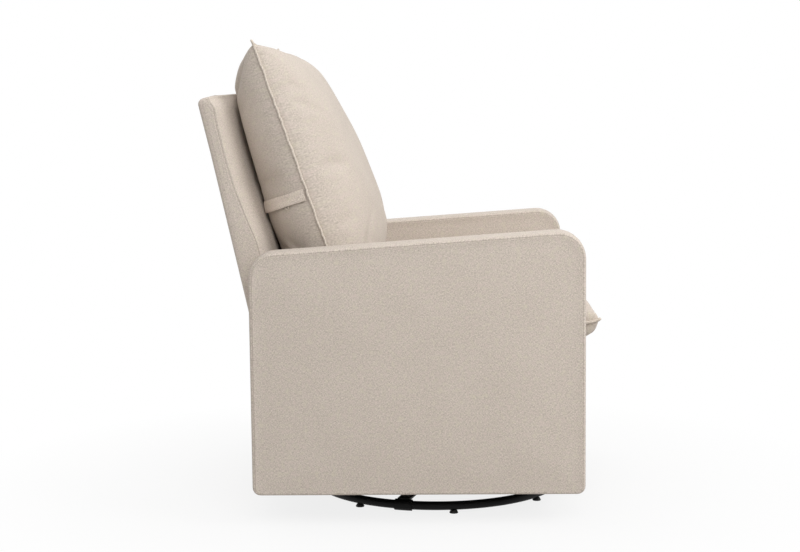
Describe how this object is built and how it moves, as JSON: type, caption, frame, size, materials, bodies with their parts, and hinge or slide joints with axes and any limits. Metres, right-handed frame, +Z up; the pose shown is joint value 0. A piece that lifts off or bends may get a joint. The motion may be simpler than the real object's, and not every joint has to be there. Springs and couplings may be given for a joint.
{
  "type": "swivel glider nursery chair",
  "caption": "Upholstered swivel glider armchair with a loose back pillow and seat cushion, swinging on links above a round steel ring base.",
  "frame": {"origin": "on the floor under the centre of the chair's outline", "axes": "+Z up, the sitter faces -Y, +X is the sitter's left"},
  "size_m": [0.76, 0.86, 1.027],
  "materials": {
    "woven_fabric": "heathered beige woven upholstery",
    "black_steel": "black powder coat",
    "zinc_steel": "zinc plated",
    "spring_steel": "dark oiled wire",
    "hardwood": "sanded, unfinished",
    "plywood": "raw plywood",
    "felt": "needled felt pad",
    "cambric": "black non-woven under-cover",
    "rubber": "moulded black rubber",
    "nylon": "black nylon glide"
  },
  "bodies": {
    "base": {"base_ring": "black_steel", "foot_1": "nylon", "foot_2": "nylon", "foot_3": "nylon", "foot_4": "nylon", "foot_5": "nylon", "foot_6": "nylon", "foot_7": "nylon", "foot_8": "nylon", "cross_bar_lower": "black_steel", "cross_bar_upper": "black_steel", "bearing_lower_race": "zinc_steel", "king_bolt": "zinc_steel"},
    "swivel_frame": {"ball_cage": "zinc_steel", "bearing_upper_race": "zinc_steel", "carrier_plate": "black_steel", "carrier_bracket_left": "black_steel", "carrier_bracket_right": "black_steel", "glide_bumper_left": "rubber", "glide_bumper_right": "rubber", "upper_pivot_bolt_front_left": "zinc_steel", "upper_pivot_bolt_front_right": "zinc_steel", "upper_pivot_bolt_rear_left": "zinc_steel", "upper_pivot_bolt_rear_right": "zinc_steel"},
    "link_front_left": {"swing_link_front_left": "black_steel"},
    "link_front_right": {"swing_link_front_right": "black_steel"},
    "link_rear_left": {"swing_link_rear_left": "black_steel"},
    "link_rear_right": {"swing_link_rear_right": "black_steel"},
    "chair": {"glide_rail_left": "black_steel", "glide_rail_right": "black_steel", "lower_pivot_bolt_front_left": "zinc_steel", "lower_pivot_bolt_front_right": "zinc_steel", "lower_pivot_bolt_rear_left": "zinc_steel", "lower_pivot_bolt_rear_right": "zinc_steel", "seat_spring_1": "spring_steel", "seat_spring_2": "spring_steel", "seat_spring_3": "spring_steel", "seat_spring_4": "spring_steel", "seat_front_rail": "hardwood", "seat_rear_rail": "hardwood", "mount_slat_front": "hardwood", "mount_slat_rear": "hardwood", "back_post_left": "hardwood", "back_post_right": "hardwood", "back_top_rail": "hardwood", "back_mid_rail": "hardwood", "arm_board_left": "plywood", "arm_board_right": "plywood", "deck_pad": "felt", "dust_cover": "cambric", "front_border": "woven_fabric", "arm_cover_left": "woven_fabric", "arm_cover_right": "woven_fabric", "back_cover": "woven_fabric", "back_outer_panel": "woven_fabric", "seat_cushion": "woven_fabric", "back_pillow": "woven_fabric", "pillow_strap_left": "woven_fabric", "pillow_strap_right": "woven_fabric"}
  },
  "joints": [
    {"name": "swivel", "type": "hinge", "parent": "base", "child": "swivel_frame", "pos_m": [0, -0.07104, 0.05], "axis": [0, 0, 1], "continuous": true},
    {"name": "glide", "type": "hinge", "parent": "swivel_frame", "child": "link_front_left", "pos_m": [0.1685, -0.19104, 0.1721], "axis": [1, 0, 0], "range_deg": [-30, 30]},
    {"name": "link_front_right_swing", "type": "hinge", "parent": "swivel_frame", "child": "link_front_right", "pos_m": [-0.1685, -0.19104, 0.1721], "axis": [1, 0, 0], "range_deg": [-30, 30]},
    {"name": "link_rear_left_swing", "type": "hinge", "parent": "swivel_frame", "child": "link_rear_left", "pos_m": [0.1685, 0.04896, 0.1721], "axis": [1, 0, 0], "range_deg": [-30, 30]},
    {"name": "link_rear_right_swing", "type": "hinge", "parent": "swivel_frame", "child": "link_rear_right", "pos_m": [-0.1685, 0.04896, 0.1721], "axis": [1, 0, 0], "range_deg": [-30, 30]},
    {"name": "chair_level", "type": "hinge", "parent": "link_front_left", "child": "chair", "pos_m": [0.1725, -0.19104, 0.0621], "axis": [1, 0, 0], "range_deg": [-30, 30]}
  ],
  "couplings": [
    {"joint": "chair_level", "follows": "glide", "ratio": -1},
    {"joint": "link_front_right_swing", "follows": "glide", "ratio": 1},
    {"joint": "link_rear_left_swing", "follows": "glide", "ratio": 1},
    {"joint": "link_rear_right_swing", "follows": "glide", "ratio": 1}
  ]
}
